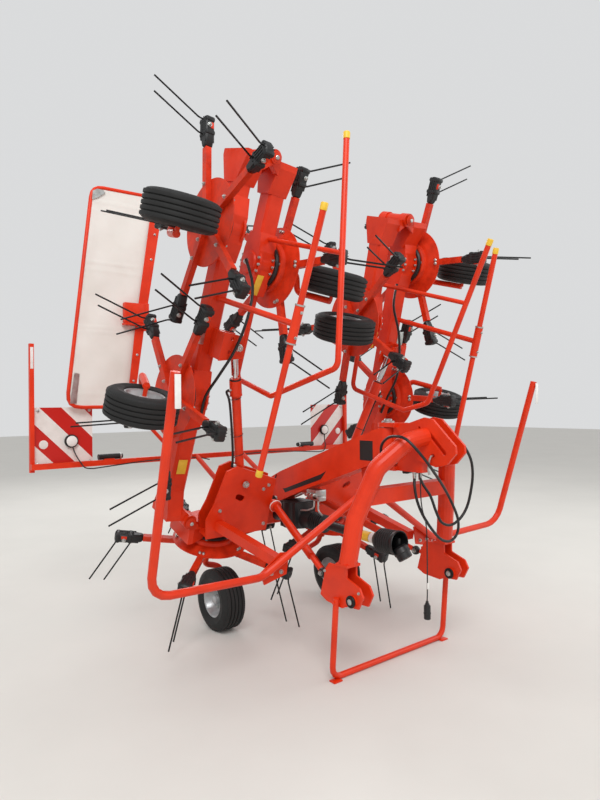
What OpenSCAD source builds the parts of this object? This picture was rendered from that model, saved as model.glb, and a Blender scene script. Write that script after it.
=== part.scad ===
// Eight-rotor mounted hay tedder, folded upright and parked on its stand

/* [Layout] */
// Lean of the rotor plane, front edge low
tilt = 18; // [14:1:20]
// Distance between neighbouring rotors at work
pitch = 1050; // [1040:5:1080]
// Angle through which a wing folds up
fold_angle = 94; // [92:1:95]
// Distance of the wing hinge from the centre plane
wing_hinge_x = 780; // [770:5:800]
// Height of the wing hinge over the disc plane
wing_hinge_h = 234; // [225:1:245]
// Distance of the outer hinge from the centre plane, left side, at work
outer_hinge_x_left = 3070; // [3050:5:3080]
// Distance of the outer hinge from the centre plane, right side, at work
outer_hinge_x_right = 2930; // [2920:5:2950]
// Height of the outer hinge over the disc plane
outer_hinge_h = 260; // [250:1:265]
// Height of the beams' centre line over the disc plane
beam_h = 135; // [130:1:145]
// Distance of the middle rotors behind the stand's foot
rotor_y = 1210; // [1180:5:1240]

/* [Rotors] */
// Radius of the rotor disc
disc_r = 255; // [230:5:270]
// Sheet thickness of the rotor disc
disc_t = 6; // [5:1:10]
// Height of the disc's dome
dome_h = 60; // [50:1:62]
// Number of arms on a rotor
arm_count = 5; // [5:1:5]
// Height of an arm tube
arm_h = 36; // [30:1:38]
// Radius at which the arm tube ends
arm_end = 520; // [500:5:540]
// Width of an arm tube
arm_w = 42; // [36:1:46]
// Turn of the drive train at rest
drive_angle = 0; // [-36:1:36]
// Radius of the spindle that carries a rotor
spindle_r = 30; // [25:1:34]
// Radial running clearance between spindle and rotor
spindle_gap = 0.05; // [0.02:0.01:0.1]

/* [Tines] */
// Length of a tine holder along its arm
holder_len = 112; // [104:1:116]
// Length of the boot over the arm's end
boot_len = 70; // [60:1:80]
// Radius of a tine holder
holder_r = 31; // [26:1:36]
// Distance between a holder's two prongs
prong_gap = 95; // [90:1:98]
// Radius of the tine wire
wire_r = 4.75; // [4:0.25:6]
// Distance of the tine tips below the disc plane
tip_drop = 352; // [330:1:355]
// Greatest radius of the tine tips
tip_r = 697; // [660:1:700]

/* [Wheels] */
// Outer radius of a tyre
tyre_r = 203; // [195:1:210]
// Width of a tyre
tyre_w = 165; // [150:1:170]
// Radius of the rim's edge
rim_r = 108; // [100:1:115]
// Wheel centre below the disc plane
wheel_drop = 308; // [304:1:315]
// Wheel centre in front of the rotor axis
wheel_lead = 250; // [240:1:260]
// Radius of the axle stub
axle_r = 12.5; // [10:0.5:15]
// Radial running clearance between axle and wheel
axle_gap = 0.05; // [0.02:0.01:0.1]
// Radius of the wheel leg tube
leg_r = 21; // [18:1:24]

/* [Beams] */
// Side of the square beams
beam_w = 116; // [100:2:120]
// Radius of a rotor gear housing
housing_r = 92; // [80:1:100]
// Height of a rotor gear housing
housing_len = 116; // [110:1:130]
// Radius of the fold hinge pins
pin_r = 20; // [16:1:24]
// Width of the lug between two hinge ears
hinge_w = 220; // [200:5:240]
// Thickness of a hinge ear
ear_t = 18; // [12:1:22]
// Radius of the rounded end of ears and lugs
eye_r = 46; // [40:1:50]
// Side clearance in a hinge
side_gap = 1; // [0.5:0.5:2]
// Distance of a hinge casting's end face from the hinge line
face_gap = 4; // [3:0.5:6]
// Length of the tapered hinge castings
casting_len = 190; // [160:5:220]
// Running clearance round a hinge pin
pin_gap = 0.08; // [0.02:0.01:0.1]

/* [Rails] */
// Radius of the guard rail tubes
rail_r = 17; // [14:1:20]
// Radius of the telescopic sleeves on the wing rails
sleeve_r = 25; // [22:1:30]
// Distance of the wing rails in front of the rotor axes
rail_lead = 810; // [800:5:820]

/* [Headstock] */
// Radius of the arch tube
arch_r = 50; // [44:1:55]
// Side of the square tube across the arch
cross_w = 84; // [70:2:90]
// Half the spacing of the lower hitch pins
hitch_x = 412; // [405:1:420]
// Radius of the lower hitch pins
hitch_pin_r = 14; // [13:0.5:15]
// Height of the lower hitch pins
hitch_z = 468; // [460:1:480]
// Thickness of the mast plates
mast_t = 15; // [12:1:18]
// Clear width between the mast plates
mast_gap = 62; // [56:1:70]
// Radius of the top link bore
top_link_r = 12.7; // [12.5:0.1:13]
// Half the clear width between a pair of hitch plates
hitch_gap = 30; // [26:1:34]
// Thickness of the hitch plates
hitch_t = 12; // [10:1:16]
// Radius of the parking stand's pivot pins
stand_pin_r = 9; // [8:0.5:10]
// Radius of the parking stand's tube
stand_r = 17; // [14:1:20]

/* [Guards] */
// Radius of the front guard tubes
guard_r = 22; // [20:1:25]
// Half the width over the front guards' upright tubes
guard_x = 1440; // [1400:5:1450]

/* [Rear] */
// Distance of the rear cross bar behind the stand's foot
rear_y = 1952; // [1930:1:1970]
// Height of the rear cross bar
rear_z = 1070; // [1050:5:1090]
// Half the overall width at the light board posts
post_x = 1500; // [1480:5:1520]
// Side of the rear cross bar's square tube
rear_w = 40; // [30:5:50]
// Side of a light board
board_w = 423; // [400:1:430]
// Thickness of a light board
board_t = 3; // [2:1:5]

/* [Hidden] */
$fn = 48;

paint = "orangered";
black = "#202022";
steel = "silver";
// Top of the arm tubes over the disc plane, which lies inside them
arm_top = 3;
left = -1;
right = 1;
mast_front_y = -505;
post_t = 30;
board_rear_y = rear_y + rear_w / 2 + post_t + board_t;
stand_x = hitch_x + hitch_gap + hitch_t + 1 + stand_r;
stand_pin = [-39, 441];
// Height of the disc plane over the ground at the middle rotors, whose wheels stand on it
rotor_z = tyre_r + wheel_drop * cos(tilt) + wheel_lead * sin(tilt);
// Centre line of the beams over the ground, as y, z
beam_line = [rotor_y - beam_h * sin(tilt), rotor_z + beam_h * cos(tilt)];
y_mid = (mast_front_y + board_rear_y) / 2;
// Swivel of the headstock, and width of the boom behind it
swivel_y = 10;
boom_w = 120;
// Half the gap between the roots of the two guard tubes, under the boom
guard_root = 10;
// Folding cylinder: foot pin on the centre beam and rod eye on the wing, as x, h at rest
cyl_base = [462, 507];
cyl_top = [683, 1411];
cyl_y = -150;
cyl_r = 29;
cyl_len = 720;
cyl_eye_w = 48;
cyl_pin_r = 15;
rod_r = 15;
cheek_gap = 42;
cheek_t = 12;
// Place of the rod eye on the wing at work
cyl_seat = turn_back(cyl_top.x - wing_hinge_x, cyl_top.y - wing_hinge_h);
// Ends of the left damper, mirrored on the right, as x, y, z
damper_rear = [184, 950, 846];
damper_front = [400, 150, 548];
damper_len = norm(damper_front - damper_rear);
// Hoses and lead: radius, and routes as x, y behind the stand's foot, z
hose_r = 8;
hose_left_route = [[-31, -80, 1165], [-50, -80, 1165], [-85, -74, 1172], [-115, -62, 1195],
    [-138, -62, 1235], [-160, -92, 1278], [-185, -150, 1312], [-212, -225, 1330], [-238, -340, 1320],
    [-185, -404, 1230], [-30, -362, 1122], [105, -316, 1028],
    [225, -280, 920], [300, -262, 815], [302, -252, 735], [240, -250, 700], [155, -250, 722],
    [75, -250, 790], [5, -243, 880], [-33, -234, 965], [-30, -215, 1045], [-12, -200, 1085],
    [-12, -200, 1105], [-12, -200, 1119.7]];
hose_right_route = [[12, -220, 1119.7], [12, -220, 1105], [10, -222, 1085], [8, -250, 1045], [30, -280, 985],
    [62, -290, 900], [98, -300, 835], [165, -310, 812], [235, -322, 840], [285, -336, 905],
    [300, -354, 1000], [282, -380, 1100], [234, -402, 1190], [160, -410, 1270], [107, -400, 1315],
    [75, -390, 1330], [60, -390, 1330], [46.3, -390, 1330]];
lead_r = 3.5;
lead_route = [[-20, -245, 1119.7], [-20, -245, 1105], [-26, -255, 1055], [-34, -263, 985], [-28, -268, 915],
    [-6, -271, 850], [4, -271, 780], [5, -271, 690], [5, -271, 600], [4, -271, 510], [2, -271, 440],
    [0, -271, 405]];
// Hay deflector's frame: lower and upper corners as x, z, and the radius of its tube
deflector_low = [[-800, rear_z + 490], [-1260, rear_z + 490]];
deflector_high = [[-560, rear_z + 1980], [-1090, rear_z + 1980]];
deflector_r = 14;
housing_z = dome_h + 12;
// Neck between a gear housing and its beam: half length, half length of its widest part, half width
neck_len = 190;
neck_shoulder = 80;
neck_half = housing_r - 6;
// Turn of arm 0 of rotors 1 to 4, left and right, as they were parked
arm_phase = [[61, 16, 59, 4], [26, 32, 30, 36]];
// Wheel leg side for rotors 1 to 4: inward or outward of the wheel
leg_side = [-1, 1, -1, 1];
leg_off = tyre_w / 2 + 32;

function outer_hinge_x(side) = side == left ? outer_hinge_x_left : outer_hinge_x_right;
function rotor_x(n) = (n - 0.5) * pitch;
function unit(v) = v / norm(v);

// Places children given in the rotor plane's frame at work: x across, y back, z up from the discs
module rotor_plane() {
    translate([0, rotor_y - y_mid, rotor_z]) rotate([tilt, 0, 0]) children();
}

module on_ground() {
    translate([0, -y_mid, 0]) children();
}

module mirrored(side) {
    if (side == left) mirror([1, 0, 0]) children();
    else children();
}

// Turns children about a fold hinge at x, h, upwards and inwards
module turned(x, h, angle) {
    translate([x, 0, h]) rotate([0, -angle, 0]) translate([-x, 0, -h]) children();
}

module on_wing(side) {
    rotor_plane() mirrored(side) turned(wing_hinge_x, wing_hinge_h, fold_angle) children();
}

module on_outer(side) {
    on_wing(side) turned(outer_hinge_x(side), outer_hinge_h, 180) children();
}

// Section of the machine that carries rotor n
module on_section(side, n) {
    if (n == 1) rotor_plane() mirrored(side) children();
    else if (n == 4) on_outer(side) children();
    else on_wing(side) children();
}

module rod(from, to, r) {
    v = to - from;
    translate(from) rotate([0, acos(v.z / norm(v)), atan2(v.y, v.x)]) cylinder(r = r, h = norm(v));
}

// Points along a path whose corners are rounded with one bend radius
function rounded(points, bend, steps) = let (last = len(points) - 1) [
    points[0],
    for (i = [1 : 1 : last - 1]) let (
        u = unit(points[i] - points[i - 1]),
        v = unit(points[i + 1] - points[i]),
        turn = acos(u * v),
        centre = points[i] + unit(v - u) * bend / cos(turn / 2),
        start = points[i] - u * bend * tan(turn / 2) - centre
    ) for (k = [0 : steps]) centre + start * cos(turn * k / steps) + u * bend * sin(turn * k / steps),
    points[last]
];

// Normals carried along a path without twist
function carried(tangents, n, i = 0) = let (
    t = tangents[i],
    here = unit(n - t * (n * t))
) i == len(tangents) - 1 ? [here] : concat([here], carried(tangents, here, i + 1));

// Round tube along a path, as a skin of rings
module swept(path, r, sides = 12) {
    last = len(path) - 1;
    tangents = [for (i = [0 : last]) unit(path[min(i + 1, last)] - path[max(i - 1, 0)])];
    first = tangents[0];
    normals = carried(tangents, abs(first.z) < 0.9 ? [0, 0, 1] : [0, 1, 0]);
    points = [for (i = [0 : last], k = [0 : sides - 1]) let (
        n = normals[i],
        a = 360 * k / sides
    ) path[i] + (n * cos(a) + cross(tangents[i], n) * sin(a)) * r];
    sleeve = [for (i = [0 : last - 1], k = [0 : sides - 1]) let (
        j = (k + 1) % sides,
        lo = i * sides,
        hi = lo + sides
    ) each [[lo + k, hi + k, hi + j], [lo + k, hi + j, lo + j]]];
    polyhedron(points, concat(sleeve, [[for (k = [0 : sides - 1]) k],
        [for (k = [sides - 1 : -1 : 0]) last * sides + k]]), convexity = 8);
}

// Round tube bent at its inner points with one bend radius
module bent_tube(points, r, bend, steps = 4, sides = 12) {
    swept(rounded(points, bend, steps), r, sides);
}

// Smooth curve through points, with steps pieces between neighbours
function smooth(points, steps) = let (last = len(points) - 1) [
    for (i = [0 : last - 1], k = [0 : steps - 1]) let (
        a = points[max(i - 1, 0)],
        b = points[i],
        c = points[i + 1],
        d = points[min(i + 2, last)],
        t = k / steps
    ) b + ((c - a) * t + (2 * a - 5 * b + 4 * c - d) * t * t + (3 * b - a - 3 * c + d) * t * t * t) / 2,
    points[last]
];

// Plate standing in the y-z plane, centred on x, from an outline of y, z points
module side_plate(x, t) {
    translate([x - t / 2, 0, 0]) rotate([90, 0, 90]) linear_extrude(t) children();
}

// Plate across the fold hinges, in the x-z plane, from y0 over thickness t
module hinge_plate(y0, t) {
    translate([0, y0 + t, 0]) rotate([90, 0, 0]) linear_extrude(t) children();
}

// Outline of an eye at x, h on a cheek that stands on the casting, towards dir
module cheek_outline(x, h, dir) {
    translate([x, h]) circle(eye_r);
    polygon([[x, h + eye_r], [x + dir * casting_len * 0.45, casting_top(h) - 8],
        [x + dir * face_gap, casting_top(h) - 8], [x, h - eye_r]]);
}

function casting_top(h) = h - eye_r - 6;

// Tapered casting between a beam's end and its hinge face
module hinge_casting(x, h, dir, half) {
    base = beam_h - beam_w / 2 - 4;
    edge = beam_w / 2 + 2;
    translate([0, 0, base]) linear_extrude(casting_top(h) - base) polygon([
        [x + dir * face_gap, -half], [x + dir * face_gap, half], [x + dir * 40, half],
        [x + dir * casting_len, edge], [x + dir * casting_len, -edge], [x + dir * 40, -half]]);
}

// Pair of ears with the hinge pin, on the casting that joins them to the beam's end
module ears(x, h, dir) {
    half = hinge_w / 2 + side_gap + ear_t;
    hinge_casting(x, h, dir, half + 2);
    for (s = [-1, 1])
        hinge_plate(s * (half - ear_t / 2) - ear_t / 2, ear_t) cheek_outline(x, h, dir);
    translate([x, half + 12, h]) rotate([90, 0, 0]) cylinder(r = pin_r, h = 2 * half + 24);
}

module lug(x, h, dir) {
    cheek_t = 45;
    difference() {
        union() {
            hinge_casting(x, h, dir, hinge_w / 2 - 3);
            for (s = [-1, 1])
                hinge_plate(s * (hinge_w - cheek_t) / 2 - cheek_t / 2, cheek_t) cheek_outline(x, h, dir);
            translate([x, hinge_w / 2 - 10, h]) rotate([90, 0, 0]) cylinder(r = eye_r - 8, h = hinge_w - 20);
        }
        translate([x, hinge_w, h]) rotate([90, 0, 0]) cylinder(r = pin_r + pin_gap, h = 2 * hinge_w);
    }
}

// Wheel leg with its axle, below rotor n
module wheel_leg(n) {
    x = rotor_x(n);
    s = leg_side[n - 1];
    foot = x + s * leg_off;
    translate([x, 0, -130]) cylinder(r = spindle_r, h = 130 + housing_z + 20);
    bent_tube([[x, 0, -100], [x, 15, -195], [foot, 0, -225], [foot, -wheel_lead, -wheel_drop]], leg_r, 40);
    rod([foot, -wheel_lead, -wheel_drop], [x - s * tyre_w / 3, -wheel_lead, -wheel_drop], axle_r);
}

// Gear housing over rotor n: flanged drum with a stepped cover, between tapered necks to the beam
module housing(n) {
    x = rotor_x(n);
    cover = housing_z + housing_len;
    rim = 14;
    translate([x, 0, 0]) rotate_extrude() polygon([[0, housing_z - 6], [housing_r + 22, housing_z - 6],
        [housing_r + 22, housing_z + rim], [housing_r, housing_z + rim], [housing_r, cover - rim],
        [housing_r + 16, cover - rim], [housing_r + 16, cover], [housing_r - 16, cover + 4],
        [housing_r - 24, cover + 20], [housing_r - 62, cover + 24], [0, cover + 24]]);
    translate([0, 0, beam_h - beam_w / 2 - 3]) linear_extrude(beam_w + 6) polygon([
        for (u = [[-1, -1], [1, -1], [1, 1], [-1, 1]]) each let (
            end = [x + u.x * neck_len, u.y * (beam_w / 2 + 2)],
            shoulder = [x + u.x * neck_shoulder, u.y * neck_half]
        ) u.x == u.y ? [end, shoulder] : [shoulder, end]]);
}

// Square section with its edges cut
module beam_section(side) {
    h = side / 2;
    c = h - 14;
    polygon([[h, c], [c, h], [-c, h], [-h, c], [-h, -c], [-c, -h], [c, -h], [h, -c]]);
}

module beam_tube(x0, x1) {
    translate([x0, 0, beam_h]) rotate([90, 0, 90]) linear_extrude(x1 - x0) beam_section(beam_w);
}

module centre_beam() {
    color(paint) rotor_plane() {
        beam_tube(-wing_hinge_x + casting_len - 20, wing_hinge_x - casting_len + 20);
        for (side = [left, right]) mirrored(side) {
            housing(1);
            wheel_leg(1);
            ears(wing_hinge_x, wing_hinge_h, -1);
            cylinder_cheeks();
        }
    }
}

// Box on the centre beam that holds a folding cylinder's foot: front and rear plates with a window,
// and the inner end wall on which the damper is bolted
module cylinder_cheeks() {
    foot_x = [215, 690];
    for (side = [-1, 1])
        hinge_plate(cyl_y + side * (cheek_gap + cheek_t / 2) - cheek_t / 2, cheek_t) difference() {
            polygon([[foot_x[0], beam_h], [207, 517], [536, 631], [614, 602], [670, 372], [711, 271],
                [foot_x[1], beam_h]]);
            hull() for (t = [-17, 17]) translate([478 + t, 406 + t * 0.45]) circle(20);
        }
    translate([foot_x[0], cyl_y - cheek_gap - 1, beam_h]) cube([14, 2 * cheek_gap + 2, 370]);
    translate([foot_x[0] + 5, cyl_y - cheek_gap - 2, beam_h + 5])
        cube([foot_x[1] - foot_x[0] - 10, cheek_gap + 2 - cyl_y, 25]);
    reach = cheek_gap + cheek_t + 12;
    translate([cyl_base.x, cyl_y + reach, cyl_base.y]) rotate([90, 0, 0]) cylinder(r = cyl_pin_r, h = 2 * reach);
}

module wing_beam(side) {
    hinge_x = outer_hinge_x(side);
    color(paint) on_wing(side) {
        beam_tube(wing_hinge_x + casting_len - 20, hinge_x - casting_len + 20);
        lug(wing_hinge_x, wing_hinge_h, 1);
        ears(hinge_x, outer_hinge_h, -1);
        cylinder_bracket();
        for (n = [2, 3]) {
            housing(n);
            wheel_leg(n);
        }
    }
}

module outer_beam(side) {
    hinge_x = outer_hinge_x(side);
    color(paint) on_outer(side) {
        beam_tube(hinge_x + casting_len - 20, rotor_x(4) + neck_len - 10);
        lug(hinge_x, outer_hinge_h, 1);
        housing(4);
        wheel_leg(4);
    }
}

module wing_beam_left() { wing_beam(left); }
module wing_beam_right() { wing_beam(right); }
module outer_beam_left() { outer_beam(left); }
module outer_beam_right() { outer_beam(right); }

// Guard rail in front of a wing: telescopic tube in a sleeve, on a cross tube from the beam
module wing_rails(side) {
    rail_h = 150;
    rail_x = [rotor_x(2) - 185, rotor_x(3) + 195];
    sleeve_x = rotor_x(3) - 410;
    sleeve_len = 190;
    color(paint) on_wing(side) {
        rod([rail_x[0], -rail_lead, rail_h], [rail_x[1], -rail_lead, rail_h], rail_r);
        rod([sleeve_x - sleeve_len / 2, -rail_lead, rail_h], [sleeve_x + sleeve_len / 2, -rail_lead, rail_h],
            sleeve_r);
        rod([sleeve_x, -beam_w / 2 - 0.3, beam_h], [sleeve_x, -rail_lead, rail_h], rail_r);
    }
}

module wing_rails_left() { wing_rails(left); }
module wing_rails_right() { wing_rails(right); }

// Guard hoop round the outer rotor, whose free ends lie differently on the two sides
module outer_rails(side) {
    rail_h = side == left ? 100 : 135;
    x = rotor_x(4);
    tip = side == left ? [x - 785, -512] : [x - 680, -925];
    knee = side == left ? [x + 420, -905] : [x + 415, -700];
    outside_x = side == left ? x + 737 : x + 515;
    low_h = 95;
    stay_x = side == left ? x - 160 : x - 285;
    stay_y = neck_face(stay_x + rail_r - x) - 0.3;
    along = (stay_x - tip.x) / (knee.x - tip.x);
    color(paint) on_outer(side) {
        bent_tube([[tip.x, tip.y, rail_h], [knee.x, knee.y, rail_h],
            [outside_x, knee.y + 1.6 * (outside_x - knee.x), low_h], [outside_x, 0, low_h],
            [x + neck_len + 0.3, 0, low_h]], rail_r, 50);
        rod([stay_x, stay_y, beam_h - 5], [stay_x, tip.y + (knee.y - tip.y) * along, rail_h], rail_r - 3);
    }
}

// Front face, as y, of the beam and the gear housing's neck, at dx from the rotor, -neck_len < dx < 0
function neck_face(dx) = dx < -neck_len ? -beam_w / 2
    : -beam_w / 2 - 2 - (neck_half - beam_w / 2 - 2) * min(1, (dx + neck_len) / (neck_len - neck_shoulder));

module outer_rails_left() { outer_rails(left); }
module outer_rails_right() { outer_rails(right); }

function turn_back(u, v) = [wing_hinge_x + u * cos(fold_angle) + v * sin(fold_angle),
    wing_hinge_h - u * sin(fold_angle) + v * cos(fold_angle)];

// Pair of plates on the wing beam with the ends of the pin that hold the piston rod's eye between them
module cylinder_bracket() {
    foot_x = [1866, 2040];
    for (side = [-1, 1])
        hinge_plate(cyl_y + side * (cheek_gap + cheek_t / 2) - cheek_t / 2, cheek_t) difference() {
            polygon([[foot_x[0], beam_h], [1898, 301], [2031, 270], [foot_x[1], beam_h]]);
            for (x = [1925, 2008]) translate([x, 195]) circle(13);
        }
    translate([foot_x[0] + 3, cyl_y - cheek_gap - 2, beam_h + 3])
        cube([foot_x[1] - foot_x[0] - 6, cheek_gap + 2 - cyl_y, 25]);
    reach = cheek_gap + cheek_t + 10;
    for (side = [-1, 1]) translate([cyl_seat.x, cyl_y + side * reach, cyl_seat.y]) rotate([side * 90, 0, 0])
        cylinder(r = cyl_pin_r, h = reach - cyl_eye_w / 2 - side_gap);
}

// Barrel with its foot eye and the wider head that guides the rod
module cylinder_body(side) {
    dir = unit([cyl_top.x - cyl_base.x, 0, cyl_top.y - cyl_base.y]);
    base = [cyl_base.x, cyl_y, cyl_base.y];
    color(paint) rotor_plane() mirrored(side) difference() {
        union() {
            rod(base + dir * 15, base + dir * cyl_len, cyl_r);
            rod(base + dir * (cyl_len - 110), base + dir * (cyl_len - 12), cyl_r + 9);
            translate(base + [0, cyl_eye_w / 2, 0]) rotate([90, 0, 0]) cylinder(r = cyl_r + 5, h = cyl_eye_w);
        }
        translate(base + [0, cyl_eye_w, 0]) rotate([90, 0, 0])
            cylinder(r = cyl_pin_r + pin_gap, h = 2 * cyl_eye_w);
        rod(base + dir * 60, base + dir * (cyl_len + 10), rod_r + pin_gap);
    }
}

// Piston rod with a stout clevis at its upper end
module piston_rod(side) {
    dir = unit([cyl_top.x - cyl_base.x, 0, cyl_top.y - cyl_base.y]);
    base = [cyl_base.x, cyl_y, cyl_base.y];
    top = [cyl_top.x, cyl_y, cyl_top.y];
    color(steel) rotor_plane() mirrored(side) difference() {
        union() {
            rod(base + dir * 70, top, rod_r);
            rod(base + dir * (cyl_len + 22), top, cyl_r - 6);
            translate(top + [0, cyl_eye_w / 2, 0]) rotate([90, 0, 0]) cylinder(r = 32, h = cyl_eye_w);
        }
        translate(top + [0, cyl_eye_w, 0]) rotate([90, 0, 0])
            cylinder(r = cyl_pin_r + pin_gap, h = 2 * cyl_eye_w);
    }
}

module cylinder_left() { cylinder_body(left); }
module cylinder_right() { cylinder_body(right); }
module piston_rod_left() { piston_rod(left); }
module piston_rod_right() { piston_rod(right); }

// Turns children to arm k of rotor n
module on_arm(side, n, k) {
    turn = arm_phase[side == left ? 0 : 1][n - 1] + 360 / arm_count * k;
    rotate([0, 0, 180 + turn + (n % 2 == 0 ? 1 : -1) * drive_angle]) children();
}

// Rotor: flanged disc that rises in a cone to a stepped drum, and square arms below it
module rotor(side, n) {
    color(paint) on_section(side, n) translate([rotor_x(n), 0, 0]) difference() {
        union() {
            rotate_extrude() polygon([[0, arm_top - arm_h - 1], [58, arm_top - arm_h - 1], [58, 0], [disc_r, 0],
                [disc_r, disc_t], [disc_r - 12, disc_t + 3], [disc_r * 0.7, dome_h * 0.5],
                [disc_r * 0.62, dome_h * 0.56], [disc_r * 0.6, dome_h - 6], [disc_r * 0.56, dome_h], [0, dome_h]]);
            for (k = [0 : arm_count - 1]) on_arm(side, n, k)
                translate([50, -arm_w / 2, arm_top - arm_h]) cube([arm_end - boot_len - 50.3, arm_w, arm_h]);
        }
        translate([0, 0, -60]) cylinder(r = spindle_r + spindle_gap, h = 160);
    }
}

// Double spring tine at the end of one arm, in a rubber boot that tapers towards the arm
module tine_pair() {
    z0 = arm_top - arm_h / 2;
    boot = arm_end - boot_len;
    root = [0.08, 0.92] * holder_len;
    translate([boot, 0, z0]) rotate([0, 90, 0]) cylinder(r1 = holder_r * 0.78, r2 = holder_r, h = boot_len);
    rod([arm_end - 1, 0, z0], [arm_end + holder_len, 0, z0], holder_r);
    for (i = [0, 1]) swept([
        [arm_end + root[i], 5, z0 - 12],
        [arm_end + root[i] + 4, 5, z0 - 55],
        [arm_end + root[i] + 20, 5, z0 - 85],
        [tip_r - (1 - i) * prong_gap, 5, -tip_drop]
    ], wire_r, 6);
}

module tines(side, n) {
    color(black) on_section(side, n) translate([rotor_x(n), 0, 0])
        for (k = [0 : arm_count - 1]) on_arm(side, n, k) tine_pair();
}

module wheel(side, n) {
    w = tyre_w / 2;
    color(black) on_section(side, n) translate([rotor_x(n), -wheel_lead, -wheel_drop]) rotate([0, 90, 0])
        rotate_extrude() polygon([[axle_r + axle_gap, -40], [34, -40], [34, -12], [rim_r - 18, -12],
            [rim_r - 8, -w + 22], [rim_r, -w + 14], [rim_r + 14, -w + 6], [tyre_r - 40, -w],
            [tyre_r - 14, -w + 14], [tyre_r, -w + 38], [tyre_r, w - 38], [tyre_r - 14, w - 14],
            [tyre_r - 40, w], [rim_r + 14, w - 6], [rim_r, w - 14], [rim_r - 8, w - 22],
            [rim_r - 18, 12], [34, 12], [34, 40], [axle_r + axle_gap, 40]]);
}

module rotor_l1() { rotor(left, 1); }
module rotor_l2() { rotor(left, 2); }
module rotor_l3() { rotor(left, 3); }
module rotor_l4() { rotor(left, 4); }
module rotor_r1() { rotor(right, 1); }
module rotor_r2() { rotor(right, 2); }
module rotor_r3() { rotor(right, 3); }
module rotor_r4() { rotor(right, 4); }
module tines_l1() { tines(left, 1); }
module tines_l2() { tines(left, 2); }
module tines_l3() { tines(left, 3); }
module tines_l4() { tines(left, 4); }
module tines_r1() { tines(right, 1); }
module tines_r2() { tines(right, 2); }
module tines_r3() { tines(right, 3); }
module tines_r4() { tines(right, 4); }
module wheel_l1() { wheel(left, 1); }
module wheel_l2() { wheel(left, 2); }
module wheel_l3() { wheel(left, 3); }
module wheel_l4() { wheel(left, 4); }
module wheel_r1() { wheel(right, 1); }
module wheel_r2() { wheel(right, 2); }
module wheel_r3() { wheel(right, 3); }
module wheel_r4() { wheel(right, 4); }

// Boom from the headstock pivot down to the centre beam
module boom_outline() {
    polygon([[swivel_y, 1365], [swivel_y + 60, 1352], [435, 1230], [1008, 1030], [1290, 905], [1290, 760],
        [1180, 690], [1110, 700], [1060, 800], [714, 934], [swivel_y + 60, 1153], [swivel_y, 1153]]);
}

module boom() {
    color(paint) on_ground() difference() {
        union() {
            side_plate(0, boom_w) boom_outline();
            translate([0, swivel_y, 1150]) cylinder(r = boom_w / 2, h = 215);
            side_plate(0, 2 * guard_root) polygon([[110, 1140], [230, 1100], [215, 965], [135, 965]]);
        }
        translate([0, swivel_y, 1100]) cylinder(r = 25.3, h = 300);
        side_plate(0, 400) translate(beam_line) rotate(tilt) beam_section(beam_w + 0.6);
    }
}

// Angular gearbox in front of the centre beam, with the necks of its two shafts
module gearbox() {
    color(steel) on_ground() difference() {
        union() {
            translate([-90, 800, 650]) cube([180, 170, 180]);
            translate([0, 885, 650]) cylinder(r = 105, h = 175);
            rod([0, 810, 715], [0, 700, 712], 62);
            rod([0, 960, 735], [0, 1150, 715], 60);
        }
        side_plate(0, 400) offset(0.3) boom_outline();
        side_plate(0, 400) translate(beam_line) rotate(tilt) beam_section(beam_w + 0.6);
    }
}

// Front guards: tube from under the boom out and up, carried by a square arm from the centre beam
module guards() {
    arm_w = 60;
    arm_from = [615, 1010, 738];
    arm_to = [562, 335, 592];
    v = arm_to - arm_from;
    color(paint) difference() {
        on_ground() for (side = [left, right]) mirrored(side) {
            bent_tube([[-30, 160, 1015], [742, 272, 556], [guard_x - 15, 225, 590], [guard_x, -91, 1657]],
                guard_r, 120);
            translate(arm_from) rotate([0, acos(v.z / norm(v)), atan2(v.y, v.x)])
                translate([-arm_w / 2, -arm_w / 2, 0]) cube([arm_w, arm_w, norm(v)]);
            translate([0, 285, 0]) hinge_plate(0, 8)
                polygon([[540, 660], [600, 668], [740, 575], [715, 505], [560, 540]]);
        }
        rotor_plane() translate([-1000, cyl_y - cheek_gap - cheek_t - 0.3, -300]) cube([2000, 500, 900]);
        on_ground() translate([-guard_root - 0.3, 0, 900]) cube([2 * guard_root + 0.6, 300, 300]);
    }
}

module rear_bar() {
    color(paint) on_ground() {
        translate([-post_x, rear_y - rear_w / 2, rear_z]) cube([2 * post_x, rear_w, rear_w]);
        for (side = [left, right]) mirrored(side) {
            translate([post_x - post_t, rear_y + rear_w / 2, rear_z - 20]) cube([post_t, post_t, 900]);
            rod([220, beam_line.x + (beam_w / 2 + 4) * cos(tilt), beam_line.y + (beam_w / 2 + 4) * sin(tilt)],
                [220, rear_y - rear_w / 2 + 2, rear_z + 20], 20);
        }
    }
}

module light_boards() {
    color("white") on_ground() for (side = [left, right]) mirrored(side)
        translate([post_x - post_t + 8 - board_w, board_rear_y - board_t, rear_z + 10])
            cube([board_w, board_t, board_w]);
}

module lamps() {
    lamp_w = 120;
    color(black) on_ground() for (side = [left, right]) mirrored(side)
        translate([post_x - 20 - board_w, board_rear_y - board_t - 28, rear_z + 100]) cube([lamp_w, 28, 90]);
}

// Hay deflector behind the left half: tube frame on two posts, and the cloth stretched in it
module deflector_frame() {
    low = deflector_low;
    high = deflector_high;
    post_w = 30;
    color(paint) on_ground() {
        bent_tube([for (q = [low[0], high[0], high[1], low[1]]) [q.x, rear_y, q.y]], deflector_r, 60);
        translate([low[1].x - 10, rear_y - post_w / 2, low[1].y - 15]) cube([low[0].x - low[1].x + 20, post_w, 25]);
        for (x = [low[1].x + 60, low[0].x - 70])
            translate([x, rear_y - post_w / 2, rear_z + rear_w])
                cube([post_w, post_w, low[0].y - 10 - rear_z - rear_w]);
    }
}

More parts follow.
